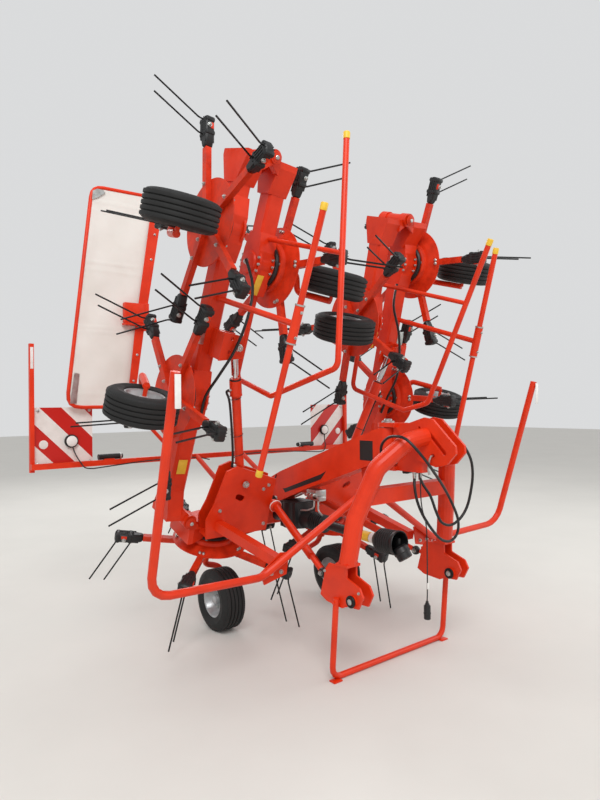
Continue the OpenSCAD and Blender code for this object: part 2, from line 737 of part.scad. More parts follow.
module deflector_cloth() {
    edge = deflector_r + 6;
    color("white") on_ground() translate([0, rear_y - deflector_r - 1, 0]) rotate([90, 0, 0]) linear_extrude(4)
        polygon([deflector_low[0] + [-5, 10.3] - [edge, 0], deflector_high[0] - [30, edge],
            deflector_high[1] + [15, -edge], deflector_low[1] + [edge + 5, 10.3]]);
}

// Two curved legs from the mast plates down to the hitch plates, the bar across them, and the block
// between the mast plates with the fork round the boom's swivel
module headstock_arch() {
    leg = [[30, -303, 1325], [150, -275, 1305], [300, -185, 1160], [390, -105, 880], [hitch_x, -70, 643]];
    fork_t = 25;
    block_w = mast_gap - 0.6;
    color(paint) on_ground() {
        for (side = [left, right]) mirrored(side) {
            difference() {
                bent_tube(leg, arch_r, 110, 4, 16);
                translate([-50, -400, 1200]) cube([50 + mast_gap / 2 + mast_t + 0.3, 200, 300]);
            }
            translate([hitch_x - 50, -115, 633.3]) cube([100, 90, 14]);
        }
        translate([-365, -130 - cross_w / 2, 960]) cube([730, cross_w, cross_w]);
        translate([-block_w / 2, -270, 1120]) cube([block_w, 210, 275]);
        for (z = [1150 - 5 - fork_t, 1365 + 5]) translate([0, 0, z]) linear_extrude(fork_t) {
            translate([0, swivel_y]) circle(boom_w / 2);
            translate([-boom_w / 2, -94]) square([boom_w, 94 + swivel_y]);
        }
        translate([0, swivel_y, 1120]) cylinder(r = 25, h = 275);
    }
}

// Mast: two side plates with the slot and the bore for the top link's pin
module mast_plates() {
    color(paint) on_ground() for (s = [left, right])
        side_plate(s * (mast_gap + mast_t) / 2, mast_t) difference() {
            polygon([[-95, 1368], [-300, 1430], [-360, 1420], [mast_front_y - 3, 1280], [mast_front_y - 6, 1240],
                [-454, 1180], [-380, 1161], [-222, 1200]]);
            translate([-360, 1222]) circle(top_link_r);
            hull() for (q = [[-328, 1347], [-435, 1240]]) translate(q) circle(14);
            translate([-268, 1372]) circle(8);
        }
}

// Lower hitch: a pair of plates on each side with the hitch pin's boss in front, the stand's pivot
// outside and the damper's lug at the rear
module hitch_plates() {
    color(paint) on_ground() for (s = [left, right]) mirrored(s) {
        for (t = [-1, 1]) difference() {
            union() {
                side_plate(hitch_x + t * (hitch_gap + hitch_t / 2), hitch_t)
                    polygon([[-100, 633], [40, 633], [67, 600], [113, 445], [60, 420], [-66, 410], [-111, 430],
                        [-190, 434], [-225, 500], [-200, 545], [-100, 580]]);
                rod([hitch_x + t * (hitch_gap + 1), -148, hitch_z], [hitch_x + t * (hitch_gap + hitch_t + 8), -148,
                    hitch_z], 32);
            }
            rod([hitch_x - 100, -148, hitch_z], [hitch_x + 100, -148, hitch_z], hitch_pin_r);
        }
        rod([hitch_x + hitch_gap, stand_pin.x, stand_pin.y], [stand_x + stand_r + 8, stand_pin.x, stand_pin.y],
            stand_pin_r);
        translate([hitch_x - hitch_gap - 2, 70, 500]) cube([2 * hitch_gap + 4, 20, 85]);
        rod([damper_front.x, 80, damper_front.z], [damper_front.x, damper_front.y - 40, damper_front.z], 14);
    }
}

module hitch_pins() {
    reach = hitch_gap + hitch_t + 20;
    color(steel) on_ground() for (s = [left, right]) mirrored(s)
        rod([hitch_x - reach, -148, hitch_z], [hitch_x + reach, -148, hitch_z], hitch_pin_r);
}

// Drive shaft from the gearbox to the bell-shaped guard at its front end
module drive_bell() {
    rear = [0, 699.7, 711];
    front = [0, 110, 684];
    color(black) on_ground() {
        rod(rear + [0, -5, -0.2], front, 30);
        rod(rear, rear + [0, -130, -3.6], 55);
        difference() {
            translate(front) rotate([90 - 2, 0, 0]) cylinder(r1 = 48, r2 = 74, h = 185);
            translate(front) rotate([90 - 2, 0, 0]) translate([0, 0, 60]) cylinder(r1 = 50, r2 = 68, h = 140);
        }
    }
}

// Dampers of the headstock's swing, from the cylinder box to the hitch plates
module damper_barrels() {
    dir = unit(damper_front - damper_rear);
    color(paint) on_ground() for (s = [left, right]) mirrored(s) {
        rod(damper_rear - [20, 0, 0], damper_rear + [30.7, 0, 0], 11);
        rod(damper_rear - [17, 0, 0], damper_rear + [17, 0, 0], 28);
        rod(damper_rear, damper_rear + dir * 60, 13);
        difference() {
            rod(damper_rear + dir * 56, damper_rear + dir * (damper_len - 170), 25);
            rod(damper_rear + dir * 80, damper_rear + dir * damper_len, 16.3);
        }
    }
}

module damper_rod(side) {
    dir = unit(damper_front - damper_rear);
    color(paint) on_ground() mirrored(side) {
        rod(damper_rear + dir * (damper_len - 330), damper_front, 16);
        translate(damper_front - [16.5, 0, 0]) rotate([0, 90, 0]) cylinder(r = 22, h = 33);
    }
}

module damper_rod_left() { damper_rod(left); }
module damper_rod_right() { damper_rod(right); }

module stand() {
    color(paint) on_ground() difference() {
        bent_tube([[-stand_x, stand_pin.x, stand_pin.y + 22], [-stand_x, 0, stand_r], [stand_x, 0, stand_r],
            [stand_x, stand_pin.x, stand_pin.y + 22]], stand_r, 60);
        rod([-2 * stand_x, stand_pin.x, stand_pin.y], [2 * stand_x, stand_pin.x, stand_pin.y],
            stand_pin_r + pin_gap);
    }
}

// Hydraulic hoses that hang in loops before the headstock, and the lamps' lead with its plug
module cord(route, r, steps) {
    color(black) on_ground() swept(smooth(route, steps), r, 8);
}

module hose_left() { cord(hose_left_route, hose_r, 2); }
module hose_right() { cord(hose_right_route, hose_r, 2); }
module lamp_lead() { cord(lead_route, lead_r, 3); }

module lamp_plug() {
    top = lead_route[len(lead_route) - 1];
    color(black) on_ground() translate(top - [0, 0, 0.2]) rotate([180, 0, 0]) {
        cylinder(r1 = 7, r2 = 16, h = 25);
        translate([0, 0, 25]) cylinder(r = 19, h = 75);
    }
}

centre_beam();
boom();
guards();
rear_bar();
light_boards();
lamps();
deflector_frame();
deflector_cloth();
gearbox();
damper_barrels();
damper_rod_left();
damper_rod_right();
headstock_arch();
mast_plates();
hitch_plates();
hitch_pins();
drive_bell();
stand();
hose_left();
hose_right();
lamp_lead();
lamp_plug();
wing_beam_left();
wing_beam_right();
wing_rails_left();
wing_rails_right();
outer_beam_left();
outer_beam_right();
outer_rails_left();
outer_rails_right();
cylinder_left();
cylinder_right();
piston_rod_left();
piston_rod_right();
rotor_l1();
rotor_l2();
rotor_l3();
rotor_l4();
rotor_r1();
rotor_r2();
rotor_r3();
rotor_r4();
tines_l1();
tines_l2();
tines_l3();
tines_l4();
tines_r1();
tines_r2();
tines_r3();
tines_r4();
wheel_l1();
wheel_l2();
wheel_l3();
wheel_l4();
wheel_r1();
wheel_r2();
wheel_r3();
wheel_r4();
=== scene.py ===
"""Eight-rotor hay tedder, folded upright on its parking stand."""

import math

import bpy
from mathutils import Matrix, Vector


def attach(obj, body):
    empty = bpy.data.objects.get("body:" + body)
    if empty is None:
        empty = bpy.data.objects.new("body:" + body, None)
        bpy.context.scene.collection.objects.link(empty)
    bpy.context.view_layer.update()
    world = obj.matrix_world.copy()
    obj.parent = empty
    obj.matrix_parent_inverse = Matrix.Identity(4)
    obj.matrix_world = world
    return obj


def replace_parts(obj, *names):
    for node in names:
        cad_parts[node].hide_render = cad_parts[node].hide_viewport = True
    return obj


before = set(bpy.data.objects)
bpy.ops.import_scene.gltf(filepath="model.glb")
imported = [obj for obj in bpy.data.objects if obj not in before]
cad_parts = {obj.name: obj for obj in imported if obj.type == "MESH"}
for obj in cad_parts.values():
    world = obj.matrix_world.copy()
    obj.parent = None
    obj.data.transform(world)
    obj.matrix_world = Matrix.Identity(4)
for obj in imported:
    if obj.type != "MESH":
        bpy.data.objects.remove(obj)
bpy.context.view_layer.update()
bpy.ops.object.select_all(action="DESELECT")

MM = 0.001
SIDES = {"l": -1, "r": 1}
NUMBERS = (1, 2, 3, 4)
IDENTITY = Matrix()

# Layout of the machine, in millimetres and degrees
TILT = 18
PITCH = 1050
FOLD = 94
WING_HINGE = (780, 234)
OUTER_HINGE = {"l": (3070, 260), "r": (2930, 260)}
Y_MID = 750
ROTOR_Y = 1210
ROTOR_Z = 573.18
ARMS = 5
ARM_PHASE = {"l": (61, 16, 59, 4), "r": (26, 32, 30, 36)}
ARM_END = 520
ARM_MID_Z = -15
HOLDER_LEN = 112
TIP_DROP = 352
TIP_R = 765
PRONG_GAP = 95
WIRE_R = 5.5
WHEEL_LEAD = 250
WHEEL_DROP = 308
TYRE_R = 203
TYRE_W = 165
RIM_R = 108
CYLINDER_Y = -150
CYLINDER_BASE = (462, 507)
CYLINDER_TOP = (683, 1411)
DAMPER_REAR = (184, 950, 846)
DAMPER_FRONT = (400, 150, 548)
FOOT_PIN_HALF = 66
HEAD_PIN_HALF = 64
HINGE_PIN_HALF = 141
HOUSING_BOLTS = ((98, 187.5), (103, 85.5))
HOUSING_TOP = 211
NUT_CIRCLE_R = 60
CLAMP_R = 573
SHAFT_R = 30
HITCH_PIN = (412, -148, 468)
HITCH_PIN_HALF = 62
ROUND_LAMP = (1212, 2003, 1258)
SWIVEL_TOP = (0, 10, 1395)
CLOTH_W = 480
CLOTH_L = 1615
CLOTH_Y = 1948
CLOTH_CORNER = 85
CLOTH_CELLS = (36, 120)
CLOTH_THICKNESS = 1.4


def moved(x, y, z):
    return Matrix.Translation(Vector((x, y, z)) * MM)


def turned(x, h, angle):
    """Turn by an angle about the axis that runs along Y through (x, h)."""
    return moved(x, 0, h) @ Matrix.Rotation(math.radians(-angle), 4, "Y") @ moved(-x, 0, -h)


def facing(point, direction):
    """Place at a point in millimetres, with Z along a direction."""
    return moved(*point) @ Vector(direction).to_track_quat("Z", "Y").to_matrix().to_4x4()


GROUND = moved(0, -Y_MID, 0)
PLANE = moved(0, ROTOR_Y - Y_MID, ROTOR_Z) @ Matrix.Rotation(math.radians(TILT), 4, "X")
MIRROR = {"l": Matrix.Diagonal((-1, 1, 1, 1)), "r": IDENTITY}
CENTRE = {s: PLANE @ MIRROR[s] for s in SIDES}
WING = {s: CENTRE[s] @ turned(*WING_HINGE, FOLD) for s in SIDES}
OUTER = {s: WING[s] @ turned(*OUTER_HINGE[s], 180) for s in SIDES}


def section(s, n):
    """Place of the machine's section that carries rotor n, in its frame at work."""
    return {1: CENTRE, 4: OUTER}.get(n, WING)[s]


def side_of(s):
    return "left" if s == "l" else "right"


def carrier(s, n):
    """Body that carries rotor n's gear housing and wheel leg."""
    return {1: "frame", 4: f"outer_{side_of(s)}"}.get(n, f"wing_{side_of(s)}")


def linear(colour):
    """sRGB hex string as linear red, green, blue and alpha."""
    parts = [int(colour[i : i + 2], 16) / 255 for i in (1, 3, 5)]
    return (*[p / 12.92 if p <= 0.04045 else ((p + 0.055) / 1.055) ** 2.4 for p in parts], 1)


def add_node(material, kind, links=(), **settings):
    """Adds a node with its settings, and links each (output, input) pair into it."""
    made = material.node_tree.nodes.new(kind)
    for key, value in settings.items():
        if hasattr(made, key):
            setattr(made, key, value)
        else:
            made.inputs[key.replace("_", " ")].default_value = value
    for output, name in links:
        material.node_tree.links.new(output, made.inputs[name])
    return made


def finish_of(name, light, dark, patch_mm, grain_mm, depth_mm, rough=(0.3, 0.45), **shader):
    """Material whose colour, gloss and relief vary over patches and grain of real sizes."""
    material = bpy.data.materials.new(name)
    material.use_nodes = True
    tree = material.node_tree
    surface = tree.nodes["Principled BSDF"]
    for key, value in shader.items():
        surface.inputs[key.replace("_", " ")].default_value = value
    place = add_node(material, "ShaderNodeTexCoord").outputs["Object"]
    patches = add_node(material, "ShaderNodeTexNoise", [(place, "Vector")],
                       Scale=1000 / patch_mm, Detail=4.0, Roughness=0.6)
    grain = add_node(material, "ShaderNodeTexNoise", [(place, "Vector")],
                     Scale=1000 / grain_mm, Detail=2.0)
    ramp = add_node(material, "ShaderNodeValToRGB", [(patches.outputs["Fac"], "Fac")])
    ramp.color_ramp.elements[0].position = 0.3
    ramp.color_ramp.elements[0].color = linear(dark)
    ramp.color_ramp.elements[1].position = 0.62
    ramp.color_ramp.elements[1].color = linear(light)
    tree.links.new(ramp.outputs["Color"], surface.inputs["Base Color"])
    gloss = add_node(material, "ShaderNodeMapRange", [(patches.outputs["Fac"], "Value")],
                     From_Min=0.3, From_Max=0.7, To_Min=rough[0], To_Max=rough[1])
    tree.links.new(gloss.outputs["Result"], surface.inputs["Roughness"])
    relief = add_node(material, "ShaderNodeBump", [(grain.outputs["Fac"], "Height")],
                      Strength=0.5, Distance=depth_mm * MM)
    tree.links.new(relief.outputs["Normal"], surface.inputs["Normal"])
    return material


def striped(material, colour, band_mm, shift_mm):
    """Adds slanting bands of a second colour, band_mm wide, that rise towards the machine's middle."""
    tree = material.node_tree
    surface = tree.nodes["Principled BSDF"]
    first = surface.inputs["Base Color"].links[0].from_socket
    place = add_node(material, "ShaderNodeTexCoord").outputs["Object"]
    split = add_node(material, "ShaderNodeSeparateXYZ", [(place, "Vector")])
    side = add_node(material, "ShaderNodeMath", [(split.outputs["X"], 0)], operation="ABSOLUTE")
    along = add_node(material, "ShaderNodeMath", [(split.outputs["Z"], 0), (side.outputs[0], 1)],
                     operation="SUBTRACT")
    scaled = add_node(material, "ShaderNodeMath", [(along.outputs[0], 0)], operation="MULTIPLY_ADD")
    scaled.inputs[1].default_value = 1000 / (2 * band_mm)
    # A hundred whole bands more keep the value above zero
    scaled.inputs[2].default_value = 100 + shift_mm / (2 * band_mm)
    part = add_node(material, "ShaderNodeMath", [(scaled.outputs[0], 0)], operation="FRACT")
    choice = add_node(material, "ShaderNodeMath", [(part.outputs[0], 0)], operation="GREATER_THAN")
    choice.inputs[1].default_value = 0.5
    mixed = add_node(material, "ShaderNodeMix", data_type="RGBA")
    tree.links.new(choice.outputs[0], mixed.inputs[0])
    tree.links.new(first, mixed.inputs[6])
    mixed.inputs[7].default_value = linear(colour)
    tree.links.new(mixed.outputs[2], surface.inputs["Base Color"])
    return material


# Polyester powder coat on welded steel: glossy red with fine orange peel and thin dust
RED = finish_of("red_powder_coat", "#e0360f", "#cd2d0b", 160, 6, 0.15, (0.3, 0.46),
                Specular_IOR_Level=0.36)
# Cast and pressed steel in the same red, a little flatter and dustier
RED_CAST = finish_of("red_painted_casting", "#d8340f", "#b8290a", 60, 5, 0.5, (0.4, 0.55),
                     Specular_IOR_Level=0.34)
# Tyre rubber, moulded: near black, matt, with grey dust
TYRE = finish_of("tyre_rubber", "#171717", "#0f0f0f", 40, 3, 0.3, (0.6, 0.8))
# Polypropylene and rubber mouldings: black, satin
BLACK = finish_of("black_moulded_plastic", "#18191a", "#101112", 50, 3, 0.2, (0.38, 0.55))
# Synthetic rubber cover of the hydraulic hoses and cables: black, slightly shiny
HOSE = finish_of("black_rubber_hose", "#131415", "#0c0c0d", 30, 2, 0.15, (0.35, 0.5))
# Black lacquered spring steel
SPRING = finish_of("spring_steel_lacquer", "#151516", "#0e0e0f", 30, 4, 0.1, (0.35, 0.5), Metallic=0.4)
# Zinc-plated steel: pale grey metal with soft mottling
ZINC = finish_of("zinc_plated_steel", "#c9cbc8", "#aeb0ad", 30, 4, 0.08, (0.28, 0.42), Metallic=1.0)
# Silver lacquer on a pressed rim
RIM = finish_of("silver_rim_lacquer", "#babcbd", "#9fa1a2", 50, 5, 0.15, (0.3, 0.45), Metallic=0.6)
# Hard chrome on a piston rod: smooth and mirror-like
CHROME = finish_of("hard_chrome", "#d8dadb", "#c8cacb", 80, 8, 0.02, (0.08, 0.14), Metallic=1.0)
# PVC-coated cloth: off-white, slightly soiled
CLOTH = finish_of("pvc_coated_cloth", "#e5e3dd", "#dad7cf", 500, 4, 0.2, (0.5, 0.65))
# Painted sheet steel of the light boards, with red and white reflective film
BOARD = striped(finish_of("striped_reflective_film", "#e6e3de", "#dcd8d2", 60, 3, 0.05, (0.3, 0.4)),
                "#c01a10", 151, 78)
# Plain reflective film: white
WHITE = finish_of("white_reflective_film", "#e8e6e2", "#dedbd6", 60, 3, 0.05, (0.3, 0.4))
# Injection-moulded polyethylene caps and plain labels: yellow
YELLOW = finish_of("yellow_moulded_plastic", "#ecc03a", "#dfb02a", 40, 4, 0.1, (0.35, 0.5))
# Acrylic lamp lens
RED_LENS = finish_of("red_acrylic_lens", "#b3201a", "#9c1a15", 20, 3, 0.2, (0.1, 0.2), Coat_Weight=0.5)


def wear(piece, material):
    """Gives a piece one material all over."""
    piece.data.materials.clear()
    piece.data.materials.append(material)


def finished(name, place, material, angle=35):
    """Names the piece at hand, sets its mesh at its place, and gives it its material."""
    piece = bpy.context.object
    piece.name = piece.data.name = name
    piece.data.transform(place)
    if place.determinant() < 0:
        piece.data.flip_normals()
    bpy.ops.object.shade_smooth_by_angle(angle=math.radians(angle))
    wear(piece, material)
    return piece


def revolved(name, profile, sides, material, place=IDENTITY):
    """Piece turned about the Z axis: one ring for each (radius, height) of the profile."""
    bpy.ops.object.select_all(action="DESELECT")
    radius, height = profile[0]
    bpy.ops.mesh.primitive_circle_add(vertices=sides, radius=radius * MM,
                                      location=(0, 0, height * MM))
    bpy.ops.object.transform_apply(location=True)
    bpy.ops.object.mode_set(mode="EDIT")
    bpy.ops.mesh.select_all(action="SELECT")
    for r, h in profile[1:]:
        lift = (0, 0, (h - height) * MM)
        bpy.ops.mesh.extrude_region_move(TRANSFORM_OT_translate={"value": lift})
        scale = r / radius
        bpy.ops.transform.resize(value=(scale, scale, 1), center_override=(0, 0, h * MM))
        radius, height = r, h
    bpy.ops.mesh.select_all(action="SELECT")
    bpy.ops.mesh.remove_doubles(threshold=0.00001)
    bpy.ops.mesh.normals_make_consistent(inside=False)
    bpy.ops.object.mode_set(mode="OBJECT")
    return finished(name, place, material)


def block(name, size, place, material, bevel=3):
    """Block with bevelled edges, centred on its place."""
    bpy.ops.object.select_all(action="DESELECT")
    bpy.ops.mesh.primitive_cube_add(size=MM)
    bpy.ops.object.mode_set(mode="EDIT")
    bpy.ops.mesh.select_all(action="SELECT")
    bpy.ops.transform.resize(value=size)
    bpy.ops.mesh.bevel(offset=bevel * MM, segments=2)
    bpy.ops.object.mode_set(mode="OBJECT")
    return finished(name, place, material)


def plate(name, outline, thickness, place, material, bevel=1.5):
    """Flat plate cut to an outline, from its place upwards along Z."""
    bpy.ops.object.select_all(action="DESELECT")
    bpy.ops.mesh.primitive_circle_add(vertices=len(outline), fill_type="NGON")
    for vertex, (x, y) in zip(bpy.context.object.data.vertices, outline):
        vertex.co = (x * MM, y * MM, 0)
    bpy.ops.object.mode_set(mode="EDIT")
    bpy.ops.mesh.select_all(action="SELECT")
    bpy.ops.mesh.extrude_region_move(TRANSFORM_OT_translate={"value": (0, 0, thickness * MM)})
    bpy.ops.mesh.select_all(action="SELECT")
    bpy.ops.mesh.bevel(offset=bevel * MM, segments=1)
    bpy.ops.mesh.select_all(action="SELECT")
    bpy.ops.mesh.normals_make_consistent(inside=False)
    bpy.ops.object.mode_set(mode="OBJECT")
    return finished(name, place, material, 30)


def copy_to(piece, name, place):
    """Copy of a piece with its own mesh, set at its place."""
    twin = piece.copy()
    twin.data = piece.data.copy()
    twin.name = twin.data.name = name
    bpy.context.scene.collection.objects.link(twin)
    twin.data.transform(place)
    if place.determinant() < 0:
        twin.data.flip_normals()
    return twin


def joined(pieces, name):
    """Several pieces as one."""
    bpy.ops.object.select_all(action="DESELECT")
    for piece in pieces:
        piece.select_set(True)
    bpy.context.view_layer.objects.active = pieces[0]
    bpy.ops.object.join()
    piece = bpy.context.object
    piece.name = piece.data.name = name
    return piece


def dropped(*patterns):
    """Takes patterns away once their copies are made."""
    for pattern in patterns:
        bpy.data.objects.remove(pattern)


def rounded(points, bend):
    """Path in metres along points in millimetres, its corners rounded by one bend radius."""
    path = [Vector(p) * MM for p in points]
    if not bend:
        return path
    soft = [path[0]]
    for before, corner, after in zip(path, path[1:], path[2:]):
        a, b = (before - corner).normalized(), (after - corner).normalized()
        room = min((before - corner).length, (after - corner).length) * 0.49
        reach = min(bend * MM / math.tan(a.angle(b) / 2), room)
        start, end = corner + a * reach, corner + b * reach
        soft += [start.lerp(corner, t).lerp(corner.lerp(end, t), t)
                 for t in (0, 0.25, 0.5, 0.75, 1)]
    return soft + [path[-1]]


def tube(name, points, radius, material, bend=0, sides=4, place=IDENTITY):
    """Round tube along points in millimetres, with its corners rounded by one bend radius."""
    path = rounded(points, bend)
    curve = bpy.data.curves.new(name, "CURVE")
    curve.dimensions = "3D"
    curve.bevel_depth = radius * MM
    curve.bevel_resolution = sides
    curve.use_fill_caps = True
    line = curve.splines.new("POLY")
    line.points.add(len(path) - 1)
    for point, at in zip(line.points, path):
        point.co = (*at, 1)
    piece = bpy.data.objects.new(name, curve)
    bpy.context.scene.collection.objects.link(piece)
    bpy.ops.object.select_all(action="DESELECT")
    piece.select_set(True)
    bpy.context.view_layer.objects.active = piece
    bpy.ops.object.convert(target="MESH")
    return finished(name, place, material, 40)


def smooth(points, steps):
    """Points along a curve that passes through every given point."""
    ends = [Vector(p) for p in (points[0], *points, points[-1])]
    path = []
    for a, b, c, d in zip(ends, ends[1:], ends[2:], ends[3:]):
        square, cube = 2 * a - 5 * b + 4 * c - d, 3 * b - a - 3 * c + d
        for t in [k / steps for k in range(steps)]:
            path.append(b + ((c - a) * t + square * t**2 + cube * t**3) / 2)
    return path + [ends[-1]]


# Bolt head on its washer, for a ten millimetre thread, with Z outwards
bolt = joined([
    revolved("washer", [(0.001, 0), (10.5, 0), (10.5, 1.6), (9.8, 2), (0.001, 2)], 16, ZINC),
    revolved("head", [(0.001, 2), (9.6, 2), (9.6, 7.6), (8, 8.6), (0.001, 8.6)], 6, ZINC),
    revolved("thread_end", [(0.001, 8.6), (5, 8.6), (5, 12), (4, 13), (0.001, 13)], 8, ZINC),
], "bolt")


def bolts(name, body, places, thread=10, material=ZINC):
    """Bolts with their heads at places, as one piece on a body."""
    scale = Matrix.Scale(thread / 10, 4)
    piece = joined([copy_to(bolt, name, place @ scale) for place in places], name)
    wear(piece, material)
    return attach(piece, body)


# Camera where the photographer stood, level with the headstock
EYE = Vector((-2.657, -2.474 - Y_MID * MM, 1.511))
LOOK = Vector((0.62480832, 0.78075094, 0.00652134))
ROLL = math.radians(-0.565)
FOCAL_PX = 604.66
PHOTO_HEIGHT_PX = 800
SENSOR_MM = 36
bpy.ops.object.camera_add(location=EYE)
camera = bpy.context.object
camera.rotation_mode = "QUATERNION"
camera.rotation_quaternion = (LOOK.to_track_quat("-Z", "Y")
                              @ Matrix.Rotation(ROLL, 3, "Z").to_quaternion())
camera.data.sensor_width = SENSOR_MM
camera.data.lens = FOCAL_PX / PHOTO_HEIGHT_PX * SENSOR_MM
camera.data.clip_end = 100
bpy.context.scene.camera = camera

# Hydraulic hoses and the lamps' lead: routes in metres to the right of, behind and above the stand's foot
HOSE_LEFT = [(-0.031, -0.08, 1.165), (-0.05, -0.08, 1.165), (-0.085, -0.074, 1.172),
             (-0.115, -0.062, 1.195), (-0.138, -0.062, 1.235), (-0.16, -0.092, 1.278),
             (-0.185, -0.15, 1.312), (-0.212, -0.225, 1.33), (-0.238, -0.34, 1.32),
             (-0.185, -0.404, 1.23), (-0.03, -0.362, 1.122), (0.105, -0.316, 1.028),
             (0.225, -0.28, 0.92), (0.3, -0.262, 0.815), (0.302, -0.252, 0.735), (0.24, -0.25, 0.7),
             (0.155, -0.25, 0.722), (0.075, -0.25, 0.79), (0.005, -0.243, 0.88), (-0.033, -0.234, 0.965),
             (-0.03, -0.215, 1.045), (-0.012, -0.2, 1.085), (-0.012, -0.2, 1.105), (-0.012, -0.2, 1.1197)]
HOSE_RIGHT = [(0.012, -0.22, 1.1197), (0.012, -0.22, 1.105), (0.01, -0.222, 1.085), (0.008, -0.25, 1.045),
              (0.03, -0.28, 0.985), (0.062, -0.29, 0.9), (0.098, -0.3, 0.835), (0.165, -0.31, 0.812),
              (0.235, -0.322, 0.84), (0.285, -0.336, 0.905), (0.3, -0.354, 1.0), (0.282, -0.38, 1.1),
              (0.234, -0.402, 1.19), (0.16, -0.41, 1.27), (0.107, -0.4, 1.315), (0.075, -0.39, 1.33),
              (0.06, -0.39, 1.33), (0.0463, -0.39, 1.33)]
LEAD = [(-0.02, -0.245, 1.1197), (-0.02, -0.245, 1.105), (-0.026, -0.255, 1.055), (-0.034, -0.263, 0.985),
        (-0.028, -0.268, 0.915), (-0.006, -0.271, 0.85), (0.004, -0.271, 0.78), (0.005, -0.271, 0.69),
        (0.005, -0.271, 0.6), (0.004, -0.271, 0.51), (0.002, -0.271, 0.44), (0, -0.271, 0.405)]


def hung(name, route, diameter, steps, material):
    """Cord along a route in metres, and the path that it follows in the row frame."""
    path = smooth(route, steps)
    piece = tube(name, [p / MM for p in path], diameter / 2 / MM, material, sides=3, place=GROUND)
    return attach(piece, "headstock"), [tuple(GROUND @ p) for p in path]


for side, route in (("left", HOSE_LEFT), ("right", HOSE_RIGHT)):
    hose, path = hung(f"hydraulic_hose_{side}", route, 0.016, 4, HOSE)
    for i, (start, towards) in enumerate(((route[0], route[1]), (route[-1], route[-2]))):
        away = (Vector(towards) - Vector(start)).normalized()
        place = GROUND @ facing([v / MM for v in start], away)
        ferrule = [(8.1, 0), (13, 0), (13, 9), (10.5, 11), (10.5, 30), (9.6, 32), (9.6, 44), (8.1, 45)]
        fitting = revolved(f"hose_fitting_{side}_{i}", ferrule, 12, ZINC, place)
        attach(fitting, "headstock")
    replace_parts(hose, f"hose_{side}")
lead, path = hung("lighting_lead", LEAD, 0.007, 4, HOSE)
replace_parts(lead, "lamp_lead")
plug_side = [(3.6, 0), (7, 0), (8, 3), (7, 6), (10, 9), (9, 12), (13, 15), (12, 18), (16, 22), (16, 25),
             (19, 26), (19, 64), (21, 65), (21, 69), (19, 70), (19, 99), (17, 100.5), (16, 98), (16, 90),
             (0.001, 90)]
plug = revolved("lighting_plug", plug_side, 24, BLACK, GROUND @ facing((0, -271, 404.8), (0, 0, -1)))
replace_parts(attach(plug, "headstock"), "lamp_plug")
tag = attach(block("lead_tag", (16, 3, 34), GROUND @ moved(5, -275.5, 488), WHITE, 1), "headstock")

# Tyre with five ribs round its tread, and its dished rim with hub and nuts
w = TYRE_W / 2
outside = [(RIM_R + 2, -w + 20), (RIM_R + 5, -w + 8), (RIM_R + 16, -w + 3), (150, -w), (152, -w - 1),
           (158, -w), (172, -w + 3), (185, -w + 8), (194, -w + 16)]
tread = []
for centre in (-54, -27, 0, 27, 54):
    tread += [(TYRE_R - 9, centre - 11.5), (TYRE_R - 1.5, centre - 9.5), (TYRE_R, centre),
              (TYRE_R - 1.5, centre + 9.5), (TYRE_R - 9, centre + 11.5)]
tyre = revolved("tyre", outside + tread + [(r, -h) for r, h in reversed(outside)], 72, TYRE)
face = [(14, -44), (30, -44), (32, -40), (32, -14), (50, -10), (78, -13), (92, -30), (98, -w + 26),
        (104, -w + 17), (RIM_R + 6, -w + 14), (RIM_R + 6, -w + 19), (RIM_R - 2, -w + 22),
        (RIM_R - 4, -w + 40)]
nut_places = [facing((NUT_CIRCLE_R * math.cos(a), NUT_CIRCLE_R * math.sin(a), z), (0, 0, z))
              for a in [math.radians(72 * k) for k in range(5)] for z in (-11, 11)]
rim = joined([revolved("dish", face + [(r, -h) for r, h in reversed(face)], 48, RIM)]
             + [copy_to(bolt, "nut", place) for place in nut_places]
             + [revolved("hub_cap", [(28, z * 40), (27, z * 52), (20, z * 57), (0.001, z * 58)], 24, RIM)
                for z in (-1, 1)], "rim")
LAID = Matrix.Rotation(math.radians(90), 4, "Y")
for s in SIDES:
    for n in NUMBERS:
        place = section(s, n) @ moved((n - 0.5) * PITCH, -WHEEL_LEAD, -WHEEL_DROP) @ LAID
        body = f"wheel_{s}{n}"
        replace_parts(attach(copy_to(tyre, f"tyre_{s}{n}", place), body), body)
        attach(copy_to(rim, f"rim_{s}{n}", place), body)
dropped(tyre, rim)

# Double spring tine: two prongs from the ends of a rubber-mounted holder, slim where it grips the arm
z = ARM_MID_Z
roots = [ARM_END + share * HOLDER_LEN for share in (0.08, 0.92)]
prongs = [tube("prong", [(root, 4, z - 10), (root + 2, 5, z - 52), (TIP_R - gap, 5, -TIP_DROP)],
               WIRE_R, SPRING, bend=60, sides=1)
          for root, gap in zip(roots, (PRONG_GAP, 0))]
grip = [(449, -15), (462, -24), (498, -38), (560, -42), (612, -40), (629, -30), (635, -12), (635, 14),
        (628, 30), (610, 38), (548, 38), (512, 30), (474, 22), (449, 15)]
holder = plate("holder", grip, 56, moved(0, 0, z - 28), BLACK, 9)
ribs = [block("rib", (length, 4, 63), moved(x, y, z), BLACK, 1.5) for length, x, y in
        ((150, 552, -26), (120, 572, -9), (120, 572, 9), (130, 562, 25))]
ends = [block("coil_cover", (30, 88, 62), moved(x, -2, z), BLACK, 11) for x in (532, 614)]
slot = block("slot", (36, 4, 20), moved(CLAMP_R, -41.5, z + 10), RED, 1)
clamp_bolts = [copy_to(bolt, "clamp_bolt", facing((CLAMP_R, y, z - 8), (0, y, 0)) @ Matrix.Scale(1.3, 4))
               for y in (-42, 38)]
tine_unit = joined([holder, *prongs, *ribs, *ends, slot, *clamp_bolts], "tine_unit")

